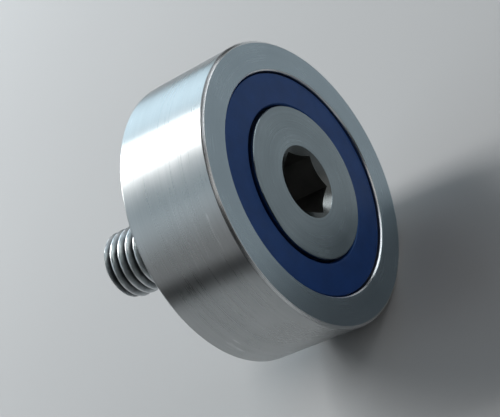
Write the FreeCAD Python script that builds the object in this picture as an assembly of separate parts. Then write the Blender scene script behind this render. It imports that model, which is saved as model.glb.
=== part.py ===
import FreeCAD, Part
import math
import os

# A cam follower (stud-type track roller). All sizes are in millimetres.
# The roller turns about the Y axis. The stud points to +Y and the hexagon socket faces -Y.
# The origin is the centre of the flat seat that is clamped against the machine frame.

# Driving dimensions
ROLLER_DIAMETER = 40.0
ROLLER_WIDTH = 14.5
ROLLER_CHAMFER = 0.4
SEAT_ABOVE_ROLLER = 3.95        # from the roller's back face to the seat
SHANK_DIAMETER = 15.0           # plain part of the stud, which carries the inner ring
INNER_RING_WIDTH = 11.0
INNER_LAND_DIAMETER = 21.7
OUTER_LAND_DIAMETER = 29.4
RING_CHAMFER = 0.3

BALL_COUNT = 8
BALL_DIAMETER = 5.953           # 15/64 inch
PITCH_DIAMETER = 25.0
BALL_PLAY = 0.03                # gap between a ball and the bottom of each groove
GROOVE_CONFORMITY = 0.52        # groove radius over ball diameter

MOUTH_DIAMETER = 31.4           # bore of the roller in front of each seal
REAR_MOUTH_DIAMETER = 32.6      # wider, so that the flange turns free inside it
REAR_MOUTH_DEPTH = 0.7
MOUTH_CHAMFER = 0.2
SEAL_GROOVE_DIAMETER = 32.3
SEAL_BEAD_DIAMETER = 32.2
SEAL_STEP_DIAMETER = 30.6
FRONT_SEAL_TOP = 0.4            # depths below the roller's face
REAR_SEAL_TOP = 0.85            # deeper, to clear the flange
SEAL_BEAD_TOP = 1.05
SEAL_BEAD_BOTTOM = 1.85
SEAL_BOTTOM = 2.5
SEAL_EDGE_SLOPE = 0.2
SEAL_INNER_DIAMETER = 22.0
SEAL_PLAY = 0.05                # round the lip, and between the bead and its groove
LIP_WIDTH = 0.6
INSERT_OUTER_DIAMETER = 29.8
INSERT_INNER_DIAMETER = 23.8
INSERT_THICKNESS = 0.5

CAGE_OUTER_DIAMETER = 27.2
CAGE_INNER_DIAMETER = 22.8
CAGE_THICKNESS = 0.5
POCKET_PLAY = 0.12
RIVET_DIAMETER = 0.9
RIVET_HEAD_DIAMETER = 1.6
RIVET_HEAD_HEIGHT = 0.3

HEAD_DIAMETER = 21.3
HEAD_CHAMFER = 0.1
SOCKET_ACROSS_FLATS = 8.0
SOCKET_DEPTH = 6.0
SOCKET_MOUTH_DIAMETER = 10.2
SOCKET_MOUTH_ANGLE = 60.0       # of the countersink's wall, from the axis
SOCKET_FLOOR_CONE = 1.2         # depth of the cone left by the drill under the hexagon

SHANK_END_BELOW_SEAT = 0.2
SHANK_END_CHAMFER = 0.1
THREAD_DIAMETER = 9.86          # crests of an M10 thread
THREAD_ROOT_DIAMETER = 8.16
THREAD_PITCH = 1.5
THREAD_CREST_WIDTH = 0.3
THREAD_ROOT_WIDTH = 0.25
NECK_DIAMETER = 8.95            # blank of the rolled thread, left plain at its foot
NECK_FILLET = 0.4
THREAD_START = 1.1              # distances above the seat
THREAD_GROOVES = 9
STUD_END = 15.5
STUD_END_DIAMETER = 7.5
STUD_END_ROUND_HEIGHT = 1.15
STUD_END_BULGE = 0.22           # how far the rounded end stands out from a plain chamfer
CENTRE_MARK_DIAMETER = 0.8
CENTRE_MARK_DEPTH = 0.3

FLANGE_DIAMETER = 31.1
FLANGE_EDGE_ABOVE_ROLLER = 0.8
FLANGE_UNDER_SEAL_GAP = 0.2
FLANGE_EDGE_CHAMFER = 0.15
BOSS_DIAMETER = 25.2
BOSS_WALL_HEIGHT = 1.8
BOSS_CHAMFER = 0.25
HUB_DIAMETER = 21.2
SEAT_BORE_CHAMFER = 0.15

# Places along the axis, worked out from the sizes above
ROLLER_BACK = -SEAT_ABOVE_ROLLER
ROLLER_FRONT = ROLLER_BACK - ROLLER_WIDTH
MID_PLANE = (ROLLER_BACK + ROLLER_FRONT) / 2
INNER_FRONT = MID_PLANE - INNER_RING_WIDTH / 2
INNER_BACK = MID_PLANE + INNER_RING_WIDTH / 2
GROOVE_RADIUS = GROOVE_CONFORMITY * BALL_DIAMETER
OUTER_GROOVE_BOTTOM = PITCH_DIAMETER / 2 + BALL_DIAMETER / 2 + BALL_PLAY
INNER_GROOVE_BOTTOM = PITCH_DIAMETER / 2 - BALL_DIAMETER / 2 - BALL_PLAY

ORIGIN = FreeCAD.Vector(0, 0, 0)
AXIS = FreeCAD.Vector(0, 1, 0)


def turned(outline):
    """A solid turned about the Y axis from (radius, y) corners. A pair of corners is an arc: via, end."""
    def point(corner):
        return FreeCAD.Vector(corner[0], corner[1], 0)

    here = point(outline[0])
    edges = []
    for corner in outline[1:] + outline[:1]:
        if isinstance(corner[0], tuple):
            via, end = point(corner[0]), point(corner[1])
            edges.append(Part.Arc(here, via, end).toShape())
        else:
            end = point(corner)
            edges.append(Part.LineSegment(here, end).toShape())
        here = end
    return Part.Face(Part.Wire(edges)).revolve(ORIGIN, AXIS, 360)


def tube(outer_radius, inner_radius, y_low, y_high):
    """A plain ring round the Y axis."""
    return turned([
        (inner_radius, y_low),
        (outer_radius, y_low),
        (outer_radius, y_high),
        (inner_radius, y_high),
    ])


def round_bar(radius, x, z, y_low, y_high):
    """A round bar parallel to the Y axis."""
    return Part.makeCylinder(radius, y_high - y_low, FreeCAD.Vector(x, y_low, z), AXIS)


def on_pitch_circle(number, offset=0.0):
    """(x, z) of a place on the pitch circle; number counts the balls and offset is in ball spacings."""
    angle = 2 * math.pi * (number + offset) / BALL_COUNT
    radius = PITCH_DIAMETER / 2
    return radius * math.sin(angle), radius * math.cos(angle)


def raceway(centre_radius):
    """The ring of round section that a raceway is ground with."""
    return Part.makeTorus(centre_radius, GROOVE_RADIUS, FreeCAD.Vector(0, MID_PLANE, 0), AXIS)


def outer_ring():
    """The thick one-piece roller, with its raceway, seal grooves and open mouths."""
    rim = ROLLER_DIAMETER / 2
    land = OUTER_LAND_DIAMETER / 2
    step = SEAL_STEP_DIAMETER / 2
    groove = SEAL_GROOVE_DIAMETER / 2
    mouth = MOUTH_DIAMETER / 2
    rear_mouth = REAR_MOUTH_DIAMETER / 2
    seat_depth = SEAL_BOTTOM + SEAL_PLAY
    bead_top = SEAL_BEAD_TOP - SEAL_PLAY
    bead_bottom = SEAL_BEAD_BOTTOM + SEAL_PLAY
    body = turned([
        (rim - ROLLER_CHAMFER, ROLLER_FRONT),
        (rim, ROLLER_FRONT + ROLLER_CHAMFER),
        (rim, ROLLER_BACK - ROLLER_CHAMFER),
        (rim - ROLLER_CHAMFER, ROLLER_BACK),
        (rear_mouth + MOUTH_CHAMFER, ROLLER_BACK),
        (rear_mouth, ROLLER_BACK - MOUTH_CHAMFER),
        (rear_mouth, ROLLER_BACK - REAR_MOUTH_DEPTH),
        (mouth, ROLLER_BACK - REAR_MOUTH_DEPTH),
        (mouth, ROLLER_BACK - bead_top),
        (groove, ROLLER_BACK - bead_top),
        (groove, ROLLER_BACK - bead_bottom),
        (step, ROLLER_BACK - bead_bottom),
        (step, ROLLER_BACK - seat_depth),
        (land, ROLLER_BACK - seat_depth),
        (land, ROLLER_FRONT + seat_depth),
        (step, ROLLER_FRONT + seat_depth),
        (step, ROLLER_FRONT + bead_bottom),
        (groove, ROLLER_FRONT + bead_bottom),
        (groove, ROLLER_FRONT + bead_top),
        (mouth, ROLLER_FRONT + bead_top),
        (mouth, ROLLER_FRONT + MOUTH_CHAMFER),
        (mouth + MOUTH_CHAMFER, ROLLER_FRONT),
    ])
    return body.cut(raceway(OUTER_GROOVE_BOTTOM - GROOVE_RADIUS))


def inner_ring():
    """The inner ring, held on the shank between the stud's head and the flange bush."""
    bore = SHANK_DIAMETER / 2
    land = INNER_LAND_DIAMETER / 2
    body = turned([
        (bore + RING_CHAMFER, INNER_FRONT),
        (land - RING_CHAMFER, INNER_FRONT),
        (land, INNER_FRONT + RING_CHAMFER),
        (land, INNER_BACK - RING_CHAMFER),
        (land - RING_CHAMFER, INNER_BACK),
        (bore + RING_CHAMFER, INNER_BACK),
        (bore, INNER_BACK - RING_CHAMFER),
        (bore, INNER_FRONT + RING_CHAMFER),
    ])
    return body.cut(raceway(INNER_GROOVE_BOTTOM + GROOVE_RADIUS))


def sphere_at(number, radius):
    """A sphere round the centre of one ball, with its poles along the Y axis."""
    x, z = on_pitch_circle(number)
    return Part.makeSphere(radius, FreeCAD.Vector(x, MID_PLANE, z), AXIS)


def ball(number):
    """One ball, with its centre on the pitch circle."""
    return sphere_at(number, BALL_DIAMETER / 2)


def cage_half(side):
    """One half of the pressed ribbon cage. side is -1 for the front half and +1 for the rear half."""
    outer, inner = CAGE_OUTER_DIAMETER / 2, CAGE_INNER_DIAMETER / 2
    pocket = BALL_DIAMETER / 2 + POCKET_PLAY
    reach = pocket + CAGE_THICKNESS
    flat = sorted([MID_PLANE, MID_PLANE + side * CAGE_THICKNESS])
    space = sorted([MID_PLANE, MID_PLANE + side * (reach + 1)])
    ribbon = tube(outer, inner, flat[0], flat[1])
    band = tube(outer, inner, space[0], space[1])
    bumps = [sphere_at(number, reach).common(band) for number in range(BALL_COUNT)]
    hollows = [sphere_at(number, pocket) for number in range(BALL_COUNT)]
    holes = []
    for number in range(BALL_COUNT):
        x, z = on_pitch_circle(number, offset=0.5)
        holes.append(round_bar(RIVET_DIAMETER / 2, x, z, flat[0] - 1, flat[1] + 1))
    return ribbon.fuse(bumps).cut(hollows).cut(holes).removeSplitter()


def cage_rivet(number):
    """One rivet between two pockets, with a head on each side of the cage."""
    x, z = on_pitch_circle(number, offset=0.5)
    front, back = MID_PLANE - CAGE_THICKNESS, MID_PLANE + CAGE_THICKNESS
    shank = round_bar(RIVET_DIAMETER / 2, x, z, front, back)
    head_radius = RIVET_HEAD_DIAMETER / 2
    heads = [
        round_bar(head_radius, x, z, front - RIVET_HEAD_HEIGHT, front),
        round_bar(head_radius, x, z, back, back + RIVET_HEAD_HEIGHT),
    ]
    return shank.fuse(heads).removeSplitter()


def seal_outline(face, inward, top):
    """Rubber seal section, starting top below the roller's face. inward is +1 or -1 along the axis."""
    def depth(below):
        return face + inward * below

    mouth = MOUTH_DIAMETER / 2 - SEAL_PLAY
    bead = SEAL_BEAD_DIAMETER / 2
    step = SEAL_STEP_DIAMETER / 2 - SEAL_PLAY
    lip = INNER_LAND_DIAMETER / 2 + SEAL_PLAY
    return [
        (SEAL_INNER_DIAMETER / 2 + SEAL_EDGE_SLOPE, depth(top)),
        (mouth - SEAL_EDGE_SLOPE, depth(top)),
        (mouth, depth(SEAL_BEAD_TOP)),
        (bead, depth(SEAL_BEAD_TOP)),
        (bead, depth(SEAL_BEAD_BOTTOM)),
        (step, depth(SEAL_BEAD_BOTTOM)),
        (step, depth(SEAL_BOTTOM)),
        (lip + LIP_WIDTH, depth(SEAL_BOTTOM)),
        (lip, depth(SEAL_BOTTOM - SEAL_EDGE_SLOPE)),
        (lip, depth(SEAL_BOTTOM - LIP_WIDTH)),
        (SEAL_INNER_DIAMETER / 2, depth(SEAL_BOTTOM - LIP_WIDTH - SEAL_EDGE_SLOPE)),
        (SEAL_INNER_DIAMETER / 2, depth(top + SEAL_EDGE_SLOPE)),
    ]


def seal_insert(face, inward):
    """The flat steel washer that stiffens a seal, bare on its inner side."""
    bottom = face + inward * SEAL_BOTTOM
    low, high = sorted([bottom, bottom - inward * INSERT_THICKNESS])
    return tube(INSERT_OUTER_DIAMETER / 2, INSERT_INNER_DIAMETER / 2, low, high)


def seal(face, inward, top):
    """The moulded rubber of a seal, with the room that its washer fills."""
    return turned(seal_outline(face, inward, top)).cut(seal_insert(face, inward))


def thread_groove(number):
    """The ring-shaped groove between two ridges of the thread."""
    crest, root = THREAD_DIAMETER / 2, THREAD_ROOT_DIAMETER / 2
    middle = THREAD_START + THREAD_CREST_WIDTH / 2 + (number + 0.5) * THREAD_PITCH
    at_root = THREAD_ROOT_WIDTH / 2
    at_crest = (THREAD_PITCH - THREAD_CREST_WIDTH) / 2
    slope = (at_crest - at_root) / (crest - root)
    clear = crest + 1
    at_clear = at_crest + slope * (clear - crest)
    return turned([
        (root, middle - at_root),
        (clear, middle - at_clear),
        (clear, middle + at_clear),
        (root, middle + at_root),
    ])


def socket():
    """The hexagon socket with its countersunk mouth and the drill's cone under it."""
    across_corners = SOCKET_ACROSS_FLATS / math.cos(math.pi / 6)
    corners = []
    for number in range(7):
        angle = number * math.pi / 3
        x, z = across_corners / 2 * math.cos(angle), across_corners / 2 * math.sin(angle)
        corners.append(FreeCAD.Vector(x, ROLLER_FRONT, z))
    hexagon = Part.Face(Part.makePolygon(corners)).extrude(AXIS * SOCKET_DEPTH)
    mouth = SOCKET_MOUTH_DIAMETER / 2
    mouth_depth = mouth / math.tan(math.radians(SOCKET_MOUTH_ANGLE))
    countersink = turned([(0, ROLLER_FRONT), (mouth, ROLLER_FRONT), (0, ROLLER_FRONT + mouth_depth)])
    floor = ROLLER_FRONT + SOCKET_DEPTH
    drill = turned([(0, floor), (SOCKET_ACROSS_FLATS / 2, floor), (0, floor + SOCKET_FLOOR_CONE)])
    return hexagon.fuse([countersink, drill])


def stud_bolt():
    """The stud in one piece: flat head, plain shank, neck and thread."""
    head = HEAD_DIAMETER / 2
    shank = SHANK_DIAMETER / 2
    neck = NECK_DIAMETER / 2
    crest = THREAD_DIAMETER / 2
    tip = STUD_END_DIAMETER / 2
    mark = CENTRE_MARK_DIAMETER / 2
    foot = -SHANK_END_BELOW_SEAT
    fillet_middle = NECK_FILLET * (1 - math.sqrt(0.5))
    round_start = STUD_END - STUD_END_ROUND_HEIGHT
    round_middle = ((crest + tip) / 2 + STUD_END_BULGE, (round_start + STUD_END) / 2 + STUD_END_BULGE)
    body = turned([
        (0, ROLLER_FRONT),
        (head - HEAD_CHAMFER, ROLLER_FRONT),
        (head, ROLLER_FRONT + HEAD_CHAMFER),
        (head, INNER_FRONT),
        (shank, INNER_FRONT),
        (shank, foot - SHANK_END_CHAMFER),
        (shank - SHANK_END_CHAMFER, foot),
        (neck + NECK_FILLET, foot),
        ((neck + fillet_middle, foot + fillet_middle), (neck, foot + NECK_FILLET)),
        (neck, THREAD_START - (crest - neck)),
        (crest, THREAD_START),
        (crest, round_start),
        (round_middle, (tip, STUD_END)),
        (mark, STUD_END),
        (0, STUD_END - CENTRE_MARK_DEPTH),
    ])
    grooves = [thread_groove(number) for number in range(THREAD_GROOVES)]
    return body.cut([socket(), *grooves])


def flange_bush():
    """The bush behind the inner ring: a hub, a conical flange over the seal, and the seat's boss."""
    bore = SHANK_DIAMETER / 2
    hub = HUB_DIAMETER / 2
    flange = FLANGE_DIAMETER / 2
    boss = BOSS_DIAMETER / 2
    edge_top = ROLLER_BACK + FLANGE_EDGE_ABOVE_ROLLER
    under = ROLLER_BACK - REAR_SEAL_TOP + FLANGE_UNDER_SEAL_GAP
    return turned([
        (bore, INNER_BACK),
        (hub, INNER_BACK),
        (hub, under),
        (flange - FLANGE_EDGE_CHAMFER, under),
        (flange, under + FLANGE_EDGE_CHAMFER),
        (flange, edge_top - FLANGE_EDGE_CHAMFER),
        (flange - FLANGE_EDGE_CHAMFER, edge_top),
        (boss, -BOSS_WALL_HEIGHT),
        (boss, -BOSS_CHAMFER),
        (boss - BOSS_CHAMFER, 0),
        (bore + SEAT_BORE_CHAMFER, 0),
        (bore, -SEAT_BORE_CHAMFER),
    ])


def write(name, shape):
    """Check that a shape is one valid solid and write it as parts/NAME.step."""
    solid = shape.Solids[0]
    if len(shape.Solids) != 1 or not solid.isValid():
        raise ValueError(name + " is not one valid solid")
    solid.exportStep(os.path.join("parts", name + ".step"))
    print(f"{name}: {solid.Volume:.2f} mm3")


os.makedirs("parts", exist_ok=True)
write("stud_bolt", stud_bolt())
write("inner_ring", inner_ring())
write("flange_bush", flange_bush())
write("outer_ring", outer_ring())
write("front_seal", seal(ROLLER_FRONT, 1, FRONT_SEAL_TOP))
write("front_seal_insert", seal_insert(ROLLER_FRONT, 1))
write("rear_seal", seal(ROLLER_BACK, -1, REAR_SEAL_TOP))
write("rear_seal_insert", seal_insert(ROLLER_BACK, -1))
write("front_cage_half", cage_half(-1))
write("rear_cage_half", cage_half(1))
for place in range(BALL_COUNT):
    write(f"ball_{place + 1}", ball(place))
    write(f"cage_rivet_{place + 1}", cage_rivet(place))
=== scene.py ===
import math

import bpy
from mathutils import Matrix, Vector


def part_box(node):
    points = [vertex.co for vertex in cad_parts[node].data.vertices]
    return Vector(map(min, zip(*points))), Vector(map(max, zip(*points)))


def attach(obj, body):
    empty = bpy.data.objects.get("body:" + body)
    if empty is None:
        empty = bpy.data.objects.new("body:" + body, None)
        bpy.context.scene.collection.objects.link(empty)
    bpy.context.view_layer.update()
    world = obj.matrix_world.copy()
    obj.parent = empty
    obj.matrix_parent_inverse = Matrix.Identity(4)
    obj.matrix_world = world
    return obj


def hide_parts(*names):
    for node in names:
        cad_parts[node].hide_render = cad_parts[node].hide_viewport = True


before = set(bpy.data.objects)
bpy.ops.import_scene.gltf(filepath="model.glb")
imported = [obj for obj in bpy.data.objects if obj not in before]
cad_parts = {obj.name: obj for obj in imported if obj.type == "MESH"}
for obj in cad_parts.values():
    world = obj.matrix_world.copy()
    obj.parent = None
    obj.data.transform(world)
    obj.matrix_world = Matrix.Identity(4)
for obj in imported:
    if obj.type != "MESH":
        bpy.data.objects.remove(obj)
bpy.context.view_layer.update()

# A cam follower. The frame gives the places and outside sizes in metres, and the sizes below, in
# millimetres, are the small features that the boxes of the parts can't give. The stud's axis is Y.
MM = 0.001
TURN = 2 * math.pi

roller_low, roller_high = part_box("outer_ring")
stud_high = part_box("stud_bolt")[1]
flange_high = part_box("flange_bush")[1]
inner_low, inner_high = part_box("inner_ring")
front_seal_low, front_seal_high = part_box("front_seal")
rear_seal_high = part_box("rear_seal")[1]

ROLLER_RADIUS = roller_high.x / MM
ROLLER_FRONT = roller_low.y / MM
ROLLER_BACK = roller_high.y / MM
MID_PLANE = (ROLLER_FRONT + ROLLER_BACK) / 2
HEAD_RADIUS = stud_high.x / MM
STUD_END = stud_high.y / MM
FLANGE_RADIUS = flange_high.x / MM
INNER_FRONT = inner_low.y / MM
INNER_BACK = inner_high.y / MM
LAND_RADIUS = inner_high.x / MM
BEAD_RADIUS = front_seal_high.x / MM
FRONT_SEAL_TOP = front_seal_low.y / MM - ROLLER_FRONT
REAR_SEAL_TOP = ROLLER_BACK - rear_seal_high.y / MM
SEAL_BOTTOM = front_seal_high.y / MM - ROLLER_FRONT
FLOOR_HEIGHT = roller_low.z

ROLLER_CHAMFER = 0.32
MOUTH_CHAMFER = 0.2
MOUTH_RADIUS = 15.7
REAR_MOUTH_RADIUS = 16.3
REAR_MOUTH_DEPTH = 0.7
SEAL_GROOVE_RADIUS = 16.15
SEAL_GROOVE_TOP = 1.0           # depths behind the roller's faces
SEAL_GROOVE_BOTTOM = 1.9
SEAL_STEP_RADIUS = 15.3
SEAL_STEP_DEPTH = 2.55
OUTER_LAND_RADIUS = 14.7
RACE_BOTTOM_RADIUS = 15.5065
RACE_RADIUS = 3.096

SEAL_BEAD_TOP = 1.05
SEAL_BEAD_BOTTOM = 1.85
SEAL_INNER_RADIUS = 11.0
SEAL_SLOPE = 0.2
SEAL_PLAY = 0.05
LIP_WIDTH = 0.6
INSERT_INNER_RADIUS = 11.9
INSERT_OUTER_RADIUS = 14.9
INSERT_THICKNESS = 0.5

SHANK_RADIUS = 7.5
SHANK_END = -0.2
SHANK_CHAMFER = 0.1
SEAT_BORE_CHAMFER = 0.15
HEAD_CHAMFER = 0.1
SOCKET_APOTHEM = 4.0
SOCKET_DEPTH = 6.0
SOCKET_MOUTH_RADIUS = 5.1
SOCKET_MOUTH_SLOPE = 1 / math.tan(math.radians(60))     # a countersink of 120 degrees
SOCKET_MOUTH_RING = 0.4         # plain width of the countersink, outside the hexagon's corners
SOCKET_LIP = 0.06               # how far the countersink's finish reaches down the walls
SOCKET_CONE_DEPTH = 1.2

NECK_RADIUS = 4.475
CREST_RADIUS = 4.93
ROOT_RADIUS = 4.08
PITCH = 1.5
CREST_WIDTH = 0.3
ROOT_WIDTH = 0.25
THREAD_FOOT = 0.35              # where the rolled thread starts to rise from the neck
THREAD_FULL = 1.6
EDGE_SOFTNESS = 0.035           # rounding of the thread's crests and roots
END_RADIUS = 3.75
END_HEIGHT = 1.15
END_BULGE = 0.22
END_EDGE_WIDTH = 0.1            # last short slope before the flat end
END_EDGE_HEIGHT = 0.12
THREAD_ROW_HEIGHT = 0.06        # between the thread's rings of points
MARK_RADIUS = 0.4
MARK_DEPTH = 0.3

BOSS_RADIUS = 12.6
BOSS_HEIGHT = 1.8
BOSS_CHAMFER = 0.25
FLANGE_EDGE = -3.15
FLANGE_UNDERSIDE = -4.6
FLANGE_CHAMFER = 0.15
HUB_RADIUS = 10.6

STEPS_ROUND = 288               # steps round each turned piece, a multiple of 6 for the socket
ARC_STEPS = 4                   # steps in a rounded corner
ROUNDING_SHARE = 0.45           # most of a wall that the rounding at one end takes up
RACE_STEPS = 20                 # steps across the ball groove
SHARP_ANGLE = 35                # degrees between two faces at an edge that stays crisp

FLOOR_REACH = 3.0               # metres
AIM_DEPTH = 4.5                 # the camera looks at the axis, this far in from the roller's back face


# ---------------------------------------------------------------- materials


class Surface:
    """A node material in the making: a Principled shader and short ways to add nodes to it."""

    def __init__(self, name, **values):
        self.material = bpy.data.materials.new(name)
        self.material.use_nodes = True
        self.tree = self.material.node_tree
        self.shader = self.tree.nodes["Principled BSDF"]
        for key, value in values.items():
            self.shader.inputs[key.replace("_", " ")].default_value = value

    def add(self, kind, inputs=(), **settings):
        """A new node. inputs maps a socket's name or number to a value or to another node's output."""
        node = self.tree.nodes.new("ShaderNode" + kind)
        for key, value in settings.items():
            setattr(node, key, value)
        for key, value in dict(inputs).items():
            self.put(node.inputs[key], value)
        return node

    def put(self, socket, value):
        if isinstance(value, bpy.types.NodeSocket):
            self.tree.links.new(value, socket)
        else:
            socket.default_value = value

    def maths(self, operation, *values):
        return self.add("Math", enumerate(values), operation=operation).outputs[0]

    def weighed(self, *shares):
        """The sum of (value, weight) pairs."""
        total = 0.0
        for value, weight in shares:
            total = self.maths("MULTIPLY_ADD", value, weight, total)
        return total

    def spread(self, value, low, high, to_low, to_high):
        """value mapped from low..high to to_low..to_high, and held there outside."""
        inputs = {0: value, 1: low, 2: high, 3: to_low, 4: to_high}
        return self.add("MapRange", inputs).outputs[0]

    def mixed(self, factor, first, second):
        node = self.add("Mix", {0: factor, 6: first, 7: second}, data_type="RGBA")
        return node.outputs[2]

    def position(self):
        return self.add("TexCoord").outputs["Object"]

    def distance_from_axis(self):
        parts = self.add("SeparateXYZ", {0: self.position()}).outputs
        squares = [self.maths("MULTIPLY", parts[i], parts[i]) for i in (0, 2)]
        return self.maths("SQRT", self.maths("ADD", *squares))

    def turned_marks(self, fineness, run, detail=4.0):
        """Noise drawn out round the Y axis, as a lathe or a grinder leaves it.

        fineness is marks per metre across the lines, and run is changes per metre along them.
        """
        parts = self.add("SeparateXYZ", {0: self.position()}).outputs
        place = self.add("CombineXYZ", {
            0: self.maths("MULTIPLY", self.distance_from_axis(), fineness),
            1: self.maths("MULTIPLY", parts[1], fineness),
            2: self.maths("MULTIPLY", parts[0], run),
        }).outputs[0]
        inputs = {"Vector": place, "W": self.maths("MULTIPLY", parts[2], run), "Scale": 1.0,
                  "Detail": detail, "Roughness": 0.6}
        return self.add("TexNoise", inputs, noise_dimensions="4D").outputs[0]

    def cloud(self, scale, detail=3.0):
        """Soft, even noise. scale is in changes per metre."""
        inputs = {"Vector": self.position(), "Scale": scale, "Detail": detail}
        return self.add("TexNoise", inputs).outputs[0]

    def round_grain(self, anisotropy):
        """Brushed lines run round the Y axis, so light spreads across them."""
        self.shader.inputs["Anisotropic"].default_value = anisotropy
        self.shader.inputs["Anisotropic Rotation"].default_value = 0.25
        tangent = self.add("Tangent", direction_type="RADIAL", axis="Y").outputs[0]
        self.put(self.shader.inputs["Tangent"], tangent)

    def bump(self, height, distance, strength=1.0):
        inputs = {"Height": height, "Distance": distance, "Strength": strength}
        self.put(self.shader.inputs["Normal"], self.add("Bump", inputs).outputs[0])


def turned_steel(name, dark, light, roughness, grain, fineness, run, depth, scuffs=0.0, **values):
    """Steel with turning or grinding lines round the axis.

    fineness and run are those of turned_marks, and grain is how much the lines spread the light.
    depth is the lines' depth in metres, and scuffs is how pale the few rubbed marks are, from 0 to 1.
    values are more values of the shader.
    """
    surface = Surface(name, Metallic=1.0, **values)
    lines = surface.turned_marks(fineness, run)
    bands = surface.turned_marks(fineness / 9, run / 2, detail=2.0)
    smudge = surface.cloud(170.0)
    tone = surface.weighed((lines, 0.4), (bands, 0.25), (smudge, 0.35))
    colour = surface.mixed(surface.spread(tone, 0.35, 0.65, 0.0, 1.0), dark, light)
    if scuffs > 0:
        rubbed = surface.spread(surface.turned_marks(900.0, 160.0, detail=2.0), 0.66, 0.76, 0.0, scuffs)
        colour = surface.mixed(rubbed, colour, (0.80, 0.81, 0.82, 1))
    surface.put(surface.shader.inputs["Base Color"], colour)
    tone_blend = surface.weighed((lines, 0.6), (smudge, 0.4))
    surface.put(surface.shader.inputs["Roughness"],
                surface.spread(tone_blend, 0.25, 0.75, roughness - 0.06, roughness + 0.06))
    surface.bump(lines, depth)
    surface.round_grain(grain)
    return surface.material


def plain_steel(name, dark, light, roughness, depth):
    """Steel with no lines: satin, blasted or pressed, with soft patches and a fine grain."""
    surface = Surface(name, Metallic=1.0)
    grain = surface.cloud(9000.0, detail=5.0)
    patches = surface.cloud(260.0)
    colour = surface.mixed(surface.spread(patches, 0.3, 0.7, 0.0, 1.0), dark, light)
    surface.put(surface.shader.inputs["Base Color"], colour)
    surface.put(surface.shader.inputs["Roughness"],
                surface.spread(patches, 0.3, 0.7, roughness - 0.05, roughness + 0.05))
    surface.bump(grain, depth)
    return surface.material


def thread_steel():
    """The rolled thread, with painted shade: its colour is bright on the crests and dark towards the roots,
    for the shade in the grooves.
    """
    surface = Surface("rolled_thread", Metallic=1.0)
    lines = surface.turned_marks(5200.0, 80.0)
    patches = surface.cloud(700.0)
    height = surface.distance_from_axis()
    # Painted shade: the colour runs from light on the crests to dark in the roots, standing in for the
    # shade in the thread's grooves.
    painted_groove_shade = surface.spread(height, ROOT_RADIUS * MM, CREST_RADIUS * MM, 0.0, 1.0)
    tone_blend = surface.maths("ADD", painted_groove_shade, surface.spread(patches, 0.3, 0.7, -0.15, 0.15))
    colour = surface.mixed(surface.spread(tone_blend, 0.25, 1.0, 0.0, 1.0),
                           (0.10, 0.105, 0.11, 1), (0.56, 0.58, 0.59, 1))
    surface.put(surface.shader.inputs["Base Color"], colour)
    surface.put(surface.shader.inputs["Roughness"], surface.spread(tone_blend, 0.0, 1.0, 0.42, 0.30))
    surface.bump(lines, 0.000004)
    return surface.material


def seal_rubber():
    """Dark blue moulded rubber, with a soft sheen across the fine lines of its turned mould."""
    surface = Surface("seal_rubber", Specular_IOR_Level=0.4, Specular_Tint=(0.2, 0.55, 1.0, 1))
    grain = surface.cloud(6500.0, detail=5.0)
    lines = surface.turned_marks(5200.0, 40.0)
    patches = surface.cloud(420.0)
    colour = surface.mixed(surface.spread(patches, 0.3, 0.7, 0.0, 1.0),
                           (0.0065, 0.035, 0.155, 1), (0.009, 0.046, 0.195, 1))
    surface.put(surface.shader.inputs["Base Color"], colour)
    surface.put(surface.shader.inputs["Roughness"], surface.spread(grain, 0.3, 0.7, 0.30, 0.40))
    height = surface.maths("ADD", grain, surface.maths("MULTIPLY", lines, 0.5))
    surface.bump(height, 0.000006)
    surface.round_grain(0.5)
    return surface.material


def floor_paper():
    """The plain pale sheet that the part stands on."""
    surface = Surface("floor_paper", Roughness=0.85, Specular_IOR_Level=0.2)
    patches = surface.cloud(12.0)
    colour = surface.mixed(patches, (0.53, 0.53, 0.535, 1), (0.56, 0.56, 0.56, 1))
    surface.put(surface.shader.inputs["Base Color"], colour)
    return surface.material


RIM = turned_steel(
    "ground_rim", (0.385, 0.40, 0.405, 1), (0.485, 0.50, 0.505, 1),
    roughness=0.29, grain=0.75, fineness=5200.0, run=25.0, depth=0.0000035, scuffs=0.5)
FACE = turned_steel(
    "satin_face", (0.34, 0.42, 0.465, 1), (0.41, 0.50, 0.555, 1),
    roughness=0.25, grain=0.5, fineness=7000.0, run=60.0, depth=0.000003)
# Painted highlight: a much lighter copy of the face's steel, laid on the front chamfers so that their edges
# read as bright lines.
EDGE_HIGHLIGHT_STEEL = turned_steel(
    "painted_edge_highlight", (0.66, 0.68, 0.69, 1), (0.76, 0.78, 0.79, 1),
    roughness=0.27, grain=0.4, fineness=7000.0, run=60.0, depth=0.000002)
BORE = turned_steel(
    "bore_steel", (0.36, 0.37, 0.37, 1), (0.46, 0.47, 0.47, 1),
    roughness=0.35, grain=0.4, fineness=6000.0, run=60.0, depth=0.000004)
RACE = turned_steel(
    "polished_race", (0.60, 0.60, 0.61, 1), (0.68, 0.68, 0.69, 1),
    roughness=0.12, grain=0.2, fineness=9000.0, run=50.0, depth=0.000001)
HEAD = turned_steel(
    "turned_head", (0.22, 0.27, 0.295, 1), (0.32, 0.385, 0.415, 1),
    roughness=0.25, grain=0.5, fineness=5000.0, run=40.0, depth=0.000003)
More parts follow.
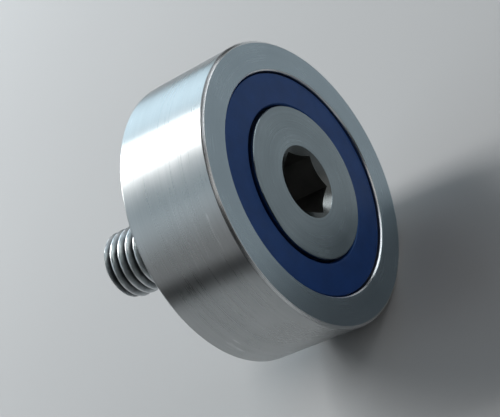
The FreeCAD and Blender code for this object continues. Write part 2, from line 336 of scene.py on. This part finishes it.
# Painted shade: the countersink is much darker steel than the head round it, with a dark edge tint, so that
# it reads as shaded.
MOUTH = turned_steel(
    "countersink", (0.11, 0.12, 0.12, 1), (0.17, 0.18, 0.18, 1),
    roughness=0.24, grain=0.2, fineness=6000.0, run=50.0, depth=0.000002,
    Specular_Tint=(0.35, 0.37, 0.38, 1))
SHANK = turned_steel(
    "turned_shank", (0.38, 0.41, 0.43, 1), (0.47, 0.50, 0.52, 1),
    roughness=0.36, grain=0.5, fineness=6000.0, run=50.0, depth=0.000004)
THREAD = thread_steel()
SOCKET = plain_steel(
    "socket_steel", (0.20, 0.20, 0.20, 1), (0.30, 0.30, 0.29, 1),
    roughness=0.42, depth=0.00001)
# Painted shade: near-black steel on the rear seal recess, the seam round the shank and the flange's rim,
# where these gaps lie in shade.
PAINTED_SHADE_STEEL = plain_steel(
    "painted_recess_shade", (0.05, 0.05, 0.05, 1), (0.10, 0.10, 0.10, 1),
    roughness=0.45, depth=0.00001)
BUSH = turned_steel(
    "turned_bush", (0.44, 0.47, 0.46, 1), (0.54, 0.57, 0.56, 1),
    roughness=0.38, grain=0.45, fineness=5600.0, run=55.0, depth=0.000004)
PRESSED = plain_steel(
    "pressed_steel", (0.42, 0.42, 0.41, 1), (0.54, 0.54, 0.53, 1),
    roughness=0.34, depth=0.000004)
BALL = plain_steel(
    "polished_ball", (0.68, 0.68, 0.69, 1), (0.74, 0.74, 0.75, 1),
    roughness=0.10, depth=0.0000002)
RUBBER = seal_rubber()


# ------------------------------------------------------------ turned meshes


def softened(corners, closed):
    """A profile from (radius, y, rounding, material) corners, with each corner rounded off.

    A corner's material is that of the wall that starts there. Returns (radius, y, material) points.
    """
    points = []
    count = len(corners)
    for i, (radius, y, rounding, material) in enumerate(corners):
        at_end = not closed and i in (0, count - 1)
        if rounding == 0 or at_end:
            points.append((radius, y, material))
            continue
        here = Vector((radius, y))
        before = Vector(corners[i - 1][:2]) - here
        after = Vector(corners[(i + 1) % count][:2]) - here
        reach_before = min(rounding, before.length * ROUNDING_SHARE)
        reach_after = min(rounding, after.length * ROUNDING_SHARE)
        start = here + before.normalized() * reach_before
        end = here + after.normalized() * reach_after
        for step in range(ARC_STEPS + 1):
            share = step / ARC_STEPS
            place = start * (1 - share) ** 2 + here * 2 * share * (1 - share) + end * share ** 2
            points.append((place.x, place.y, material))
    return points


def ring_of(point):
    """The (radius, y) of each step round for a profile point, which holds numbers or functions of angle."""
    radius, y = point[0], point[1]
    ring = []
    for step in range(STEPS_ROUND):
        angle = TURN * step / STEPS_ROUND
        here = radius(angle) if callable(radius) else radius
        ring.append((here, y(angle) if callable(y) else y))
    return ring


def turned(name, points, closed):
    """A mesh turned about the Y axis.

    An open profile starts and ends on the axis, and a closed one is a loop.
    """
    vertices, faces, slots, materials = [], [], [], []
    rows = []
    for point in points:
        on_axis = not callable(point[0]) and point[0] < 1e-9
        first = len(vertices)
        ring = ring_of(point)[:1] if on_axis else ring_of(point)
        for step, (radius, y) in enumerate(ring):
            angle = TURN * step / STEPS_ROUND
            vertices.append((radius * MM * math.cos(angle), y * MM, radius * MM * math.sin(angle)))
        rows.append([first] * STEPS_ROUND if on_axis else list(range(first, first + STEPS_ROUND)))
    spans = len(points) if closed else len(points) - 1
    for span in range(spans):
        near, far = rows[span], rows[(span + 1) % len(points)]
        material = points[span][2]
        if material not in materials:
            materials.append(material)
        for step in range(STEPS_ROUND):
            ahead = (step + 1) % STEPS_ROUND
            corners = [near[step], near[ahead], far[ahead], far[step]]
            faces.append([corner for i, corner in enumerate(corners) if corner not in corners[:i]])
            slots.append(materials.index(material))
    mesh = bpy.data.meshes.new(name)
    mesh.from_pydata(vertices, [], faces)
    for material in materials:
        mesh.materials.append(material)
    mesh.polygons.foreach_set("material_index", slots)
    mesh.polygons.foreach_set("use_smooth", [True] * len(faces))
    mesh.set_sharp_from_angle(angle=math.radians(SHARP_ANGLE))
    piece = bpy.data.objects.new(name, mesh)
    bpy.context.scene.collection.objects.link(piece)
    weighted = piece.modifiers.new("flat faces stay flat", "WEIGHTED_NORMAL")
    weighted.keep_sharp = True
    return piece


def stands_for(piece, node, body):
    """Hands a piece over to the frame: it replaces a CAD node and moves with its body."""
    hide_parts(node)
    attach(piece, body)


def raceway_arc(material):
    """The ball groove of the outer ring, from its rear edge to its front edge."""
    centre = RACE_BOTTOM_RADIUS - RACE_RADIUS
    half = math.acos((OUTER_LAND_RADIUS - centre) / RACE_RADIUS)
    points = []
    for step in range(RACE_STEPS + 1):
        angle = half * (1 - 2 * step / RACE_STEPS)
        radius = centre + RACE_RADIUS * math.cos(angle)
        points.append((radius, MID_PLANE + RACE_RADIUS * math.sin(angle), material))
    return points


# ------------------------------------------------------------------ pieces


def roller():
    """The thick outer ring: ground rim, satin faces, seal grooves and raceway."""
    outside = [
        # painted highlight: the mouth's chamfer and the front chamfer are lighter steel
        (MOUTH_RADIUS, ROLLER_FRONT + MOUTH_CHAMFER, 0.04, EDGE_HIGHLIGHT_STEEL),
        (MOUTH_RADIUS + MOUTH_CHAMFER, ROLLER_FRONT, 0.04, FACE),
        (ROLLER_RADIUS - ROLLER_CHAMFER, ROLLER_FRONT, 0.06, EDGE_HIGHLIGHT_STEEL),
        (ROLLER_RADIUS, ROLLER_FRONT + ROLLER_CHAMFER, 0.06, RIM),
        (ROLLER_RADIUS, ROLLER_BACK - ROLLER_CHAMFER, 0.15, RIM),
        (ROLLER_RADIUS - ROLLER_CHAMFER, ROLLER_BACK, 0.15, FACE),
        (REAR_MOUTH_RADIUS + MOUTH_CHAMFER, ROLLER_BACK, 0.04, FACE),
        # painted shade: the rear recess's wall and shelf are near-black steel
        (REAR_MOUTH_RADIUS, ROLLER_BACK - MOUTH_CHAMFER, 0.04, PAINTED_SHADE_STEEL),
        (REAR_MOUTH_RADIUS, ROLLER_BACK - REAR_MOUTH_DEPTH, 0.05, PAINTED_SHADE_STEEL),
        (MOUTH_RADIUS, ROLLER_BACK - REAR_MOUTH_DEPTH, 0.05, PAINTED_SHADE_STEEL),
    ]
    rear_groove, front_groove = [], []
    for radius, depth in [
        (MOUTH_RADIUS, SEAL_GROOVE_TOP),
        (SEAL_GROOVE_RADIUS, SEAL_GROOVE_TOP),
        (SEAL_GROOVE_RADIUS, SEAL_GROOVE_BOTTOM),
        (SEAL_STEP_RADIUS, SEAL_GROOVE_BOTTOM),
        (SEAL_STEP_RADIUS, SEAL_STEP_DEPTH),
        (OUTER_LAND_RADIUS, SEAL_STEP_DEPTH),
    ]:
        rear_groove.append((radius, ROLLER_BACK - depth, 0.04, BORE))
        front_groove.append((radius, ROLLER_FRONT + depth, 0.04, BORE))
    points = softened(outside + rear_groove + front_groove[::-1], closed=True)
    last_rear = max(i for i, point in enumerate(points) if point[1] > MID_PLANE)
    points[last_rear + 1:last_rear + 1] = raceway_arc(RACE)
    piece = turned("roller", points, closed=True)
    stands_for(piece, "outer_ring", "roller")


def seal(name, node, face, inward, top):
    """A moulded seal that starts top behind the roller's face. inward is +1 or -1 along the axis."""
    mouth = MOUTH_RADIUS - SEAL_PLAY
    step = SEAL_STEP_RADIUS - SEAL_PLAY
    lip = LAND_RADIUS + SEAL_PLAY
    corners = [
        (SEAL_INNER_RADIUS + SEAL_SLOPE, top, 0.08),
        (mouth - SEAL_SLOPE, top, 0.08),
        (mouth, SEAL_BEAD_TOP, 0.05),
        (BEAD_RADIUS, SEAL_BEAD_TOP, 0.1),
        (BEAD_RADIUS, SEAL_BEAD_BOTTOM, 0.1),
        (step, SEAL_BEAD_BOTTOM, 0.05),
        (step, SEAL_BOTTOM, 0.05),
        (INSERT_OUTER_RADIUS, SEAL_BOTTOM, 0.0),
        (INSERT_OUTER_RADIUS, SEAL_BOTTOM - INSERT_THICKNESS, 0.0),
        (INSERT_INNER_RADIUS, SEAL_BOTTOM - INSERT_THICKNESS, 0.0),
        (INSERT_INNER_RADIUS, SEAL_BOTTOM, 0.0),
        (lip + LIP_WIDTH, SEAL_BOTTOM, 0.05),
        (lip, SEAL_BOTTOM - SEAL_SLOPE, 0.08),
        (lip, SEAL_BOTTOM - LIP_WIDTH, 0.08),
        (SEAL_INNER_RADIUS, SEAL_BOTTOM - LIP_WIDTH - SEAL_SLOPE, 0.08),
        (SEAL_INNER_RADIUS, top + SEAL_SLOPE, 0.08),
    ]
    profile = [(radius, face + inward * depth, rounding, RUBBER) for radius, depth, rounding in corners]
    if inward < 0:
        profile.reverse()
    piece = turned(name, softened(profile, closed=True), closed=True)
    stands_for(piece, node, "roller")


def bush():
    """The bush with its conical flange, boss and seat."""
    corners = [
        (SHANK_RADIUS, INNER_BACK, 0.0, BORE),
        # painted shade: the seat's bore chamfer and the flange's rim are near-black steel
        (SHANK_RADIUS, -SEAT_BORE_CHAMFER, 0.04, PAINTED_SHADE_STEEL),
        (SHANK_RADIUS + SEAT_BORE_CHAMFER, 0.0, 0.04, BUSH),
        (BOSS_RADIUS - BOSS_CHAMFER, 0.0, 0.1, BUSH),
        (BOSS_RADIUS, -BOSS_CHAMFER, 0.1, BUSH),
        (BOSS_RADIUS, -BOSS_HEIGHT, 0.12, BUSH),
        (FLANGE_RADIUS - FLANGE_CHAMFER, FLANGE_EDGE, 0.08, BUSH),
        (FLANGE_RADIUS, FLANGE_EDGE - FLANGE_CHAMFER, 0.06, PAINTED_SHADE_STEEL),
        (FLANGE_RADIUS, FLANGE_UNDERSIDE + FLANGE_CHAMFER, 0.06, PAINTED_SHADE_STEEL),
        (FLANGE_RADIUS - FLANGE_CHAMFER, FLANGE_UNDERSIDE, 0.06, BORE),
        (HUB_RADIUS, FLANGE_UNDERSIDE, 0.1, BORE),
        (HUB_RADIUS, INNER_BACK, 0.05, BORE),
    ]
    piece = turned("bush", softened(corners, closed=True), closed=True)
    stands_for(piece, "flange_bush", "stud")


def socket_wall(angle):
    """Distance from the axis to the hexagon's wall, with corners on the X axis."""
    from_flat = (angle % (TURN / 6)) - TURN / 12
    return SOCKET_APOTHEM / math.cos(from_flat)


def socket_mouth(angle):
    """Where the countersink meets the hexagon's wall."""
    return ROLLER_FRONT + (SOCKET_MOUTH_RADIUS - socket_wall(angle)) * SOCKET_MOUTH_SLOPE


def clipped(value, low, high, softness):
    """value held between low and high, with soft bends at both limits."""
    above_low = softness * math.log1p(math.exp((value - low) / softness))
    above_high = softness * math.log1p(math.exp((value - high) / softness))
    return low + above_low - above_high


def stud_end_radius(y):
    """The rounded end of the stud, as a quarter of an ellipse with a flat cut on it."""
    share = max(0.0, (y - (STUD_END - END_HEIGHT)) / END_HEIGHT)
    chord = CREST_RADIUS + (END_RADIUS - CREST_RADIUS) * share
    return chord + 4 * END_BULGE * share * (1 - share)


def thread_radius(y, angle):
    """The helical thread's surface: it rises out of the neck and is cut off by the rounded end."""
    turns = (y / PITCH - angle / TURN) % 1.0
    from_crest = abs(turns - 0.5) * PITCH
    flank = (PITCH - CREST_WIDTH - ROOT_WIDTH) / 2
    slope = (CREST_RADIUS - ROOT_RADIUS) / flank
    ridge = CREST_RADIUS - (from_crest - CREST_WIDTH / 2) * slope
    ridge = clipped(ridge, ROOT_RADIUS, CREST_RADIUS, EDGE_SOFTNESS)
    rise = min(1.0, max(0.0, (y - THREAD_FOOT) / (THREAD_FULL - THREAD_FOOT)))
    rise = rise * rise * (3 - 2 * rise)
    return min(NECK_RADIUS + (ridge - NECK_RADIUS) * rise, stud_end_radius(y))


def thread_row(y):
    """One ring of the threaded length."""
    return (lambda angle: thread_radius(y, angle), y, THREAD)


def stud():
    """The stud in one piece: socket, head, shank, neck, thread and rounded end."""
    socket_floor = ROLLER_FRONT + SOCKET_DEPTH
    points = [
        (0.0, socket_floor + SOCKET_CONE_DEPTH, SOCKET),
        (SOCKET_APOTHEM, socket_floor, SOCKET),
        (socket_wall, socket_floor, SOCKET),
        (socket_wall, lambda angle: socket_mouth(angle) + SOCKET_LIP, SOCKET),
        (socket_wall, socket_mouth, MOUTH),
    ]
    mouth_ring_depth = SOCKET_MOUTH_RING * SOCKET_MOUTH_SLOPE
    head = [
        (SOCKET_MOUTH_RADIUS - SOCKET_MOUTH_RING, ROLLER_FRONT + mouth_ring_depth, 0, MOUTH),
        (SOCKET_MOUTH_RADIUS, ROLLER_FRONT, 0.05, HEAD),
        (HEAD_RADIUS - HEAD_CHAMFER, ROLLER_FRONT, 0.04, HEAD),
        (HEAD_RADIUS, ROLLER_FRONT + HEAD_CHAMFER, 0.04, HEAD),
        (HEAD_RADIUS, INNER_FRONT, 0.05, SHANK),
        (SHANK_RADIUS, INNER_FRONT, 0.1, SHANK),
        # painted shade: the shank's end chamfer at the seam is near-black steel
        (SHANK_RADIUS, SHANK_END - SHANK_CHAMFER, 0.03, PAINTED_SHADE_STEEL),
        (SHANK_RADIUS - SHANK_CHAMFER, SHANK_END, 0.03, SHANK),
        (NECK_RADIUS, SHANK_END, 0.45, THREAD),
        (NECK_RADIUS, THREAD_FOOT, 0, THREAD),
    ]
    points += softened(head, closed=False)[1:-1]
    rows = round((STUD_END - THREAD_FOOT) / THREAD_ROW_HEIGHT)
    for row in range(rows):
        points.append(thread_row(THREAD_FOOT + (STUD_END - THREAD_FOOT) * row / rows))
    points += softened([
        (END_RADIUS + END_EDGE_WIDTH, STUD_END - END_EDGE_HEIGHT, 0, THREAD),
        (END_RADIUS, STUD_END, 0.08, SHANK),
        (MARK_RADIUS, STUD_END, 0.05, SHANK),
        (0.0, STUD_END - MARK_DEPTH, 0, SHANK),
    ], closed=False)[1:]
    piece = turned("stud", points, closed=False)
    stands_for(piece, "stud_bolt", "stud")


def paint(node, material):
    """Gives a CAD node that stays its finish."""
    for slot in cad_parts[node].material_slots:
        slot.material = material


roller()
seal("front_seal_rubber", "front_seal", ROLLER_FRONT, 1, FRONT_SEAL_TOP)
seal("rear_seal_rubber", "rear_seal", ROLLER_BACK, -1, REAR_SEAL_TOP)
bush()
stud()
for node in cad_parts:
    if node.startswith("ball_"):
        paint(node, BALL)
    elif "cage" in node or "insert" in node:
        paint(node, PRESSED)
paint("inner_ring", RACE)


# ------------------------------------------------------------------- stage


def direction(azimuth, elevation):
    """A unit vector: azimuth 0 is in front (-Y), 90 to the right (+X), and elevation is above the floor."""
    around, above = math.radians(azimuth), math.radians(elevation)
    level = math.cos(above)
    return Vector((math.sin(around) * level, -math.cos(around) * level, math.sin(above)))


def floor():
    """A plain level sheet under the roller."""
    mesh = bpy.data.meshes.new("floor")
    corners = []
    for x, y in [(-1, -1), (1, -1), (1, 1), (-1, 1)]:
        corners.append((x * FLOOR_REACH, y * FLOOR_REACH, FLOOR_HEIGHT))
    mesh.from_pydata(corners, [], [(0, 1, 2, 3)])
    mesh.materials.append(floor_paper())
    sheet = bpy.data.objects.new("floor", mesh)
    bpy.context.scene.collection.objects.link(sheet)


def softbox(name, azimuth, elevation, distance, width, height, brightness, colour=(1, 1, 1), twist=0):
    """A rectangular light aimed at the middle of the roller.

    distance, width and height are in metres, and twist turns it about its beam, in degrees.
    brightness is that of its surface, so it stays the same when the size changes.
    """
    light = bpy.data.lights.new(name, "AREA")
    light.shape = "RECTANGLE"
    light.size, light.size_y = width, height
    light.energy = brightness * math.pi * width * height
    light.color = colour
    lamp = bpy.data.objects.new(name, light)
    toward = direction(azimuth, elevation)
    lamp.location = Vector((0, MID_PLANE * MM, 0)) + toward * distance
    spin = Matrix.Rotation(math.radians(twist), 3, "Z")
    lamp.rotation_euler = (toward.to_track_quat("Z", "Y").to_matrix() @ spin).to_euler()
    bpy.context.scene.collection.objects.link(lamp)


def surroundings():
    """An even, dim grey room round the softboxes."""
    world = bpy.data.worlds.new("room")
    world.use_nodes = True
    background = world.node_tree.nodes["Background"]
    background.inputs["Color"].default_value = (0.80, 0.82, 0.85, 1)
    background.inputs["Strength"].default_value = 0.025
    bpy.context.scene.world = world


def camera():
    """The viewpoint: close, left of the front and above, and rolled so that the part seems to lean."""
    azimuth, elevation, distance, roll, lens = -48.6, 31.5, 0.1965, -49.8, 106.0
    data = bpy.data.cameras.new("camera")
    data.lens = lens
    data.clip_start = 0.01
    viewer = bpy.data.objects.new("camera", data)
    back = direction(azimuth, elevation)
    target = Vector((0, (ROLLER_BACK - AIM_DEPTH) * MM, 0))
    level = back.to_track_quat("Z", "Y").to_matrix().to_4x4()
    tilt = Matrix.Rotation(math.radians(roll), 4, "Z")
    viewer.matrix_world = Matrix.Translation(target + back * distance) @ level @ tilt
    bpy.context.scene.collection.objects.link(viewer)
    bpy.context.scene.camera = viewer


floor()
surroundings()
softbox("key", 157, 40, 0.55, 0.17, 0.42, 11.0, (1.0, 1.0, 0.99), twist=34)
softbox("sky", 137, 22, 0.60, 0.42, 0.42, 2.0, (0.70, 0.89, 1.0))
softbox("glow", 198, 42, 0.60, 0.40, 0.50, 0.75, (0.78, 0.92, 1.0))
softbox("left", 232, 31, 0.60, 0.35, 0.44, 0.42, (0.95, 0.98, 1.0))
softbox("side", 98, 42, 0.60, 0.45, 0.35, 0.28, (0.95, 0.98, 1.0))
softbox("overhead", -28, 67, 0.6, 0.26, 0.26, 0.15, (1.0, 0.98, 0.94))
softbox("front", 10, 9, 0.5, 0.28, 0.18, 0.4, (1.0, 0.99, 0.97))
softbox("glint", 42, 6.5, 0.5, 0.22, 0.06, 5.2, (0.95, 0.98, 1.0))
softbox("right", 52, 24, 0.6, 0.62, 0.30, 0.1, (0.95, 0.98, 1.0))
softbox("bevel", 46, 28, 0.6, 0.60, 0.08, 3.0, (0.93, 0.97, 1.0), twist=-27)
softbox("brow", -5, 30, 0.6, 0.30, 0.16, 0.8, (1.0, 0.99, 0.97))
camera()
bpy.context.scene.view_settings.view_transform = "Standard"
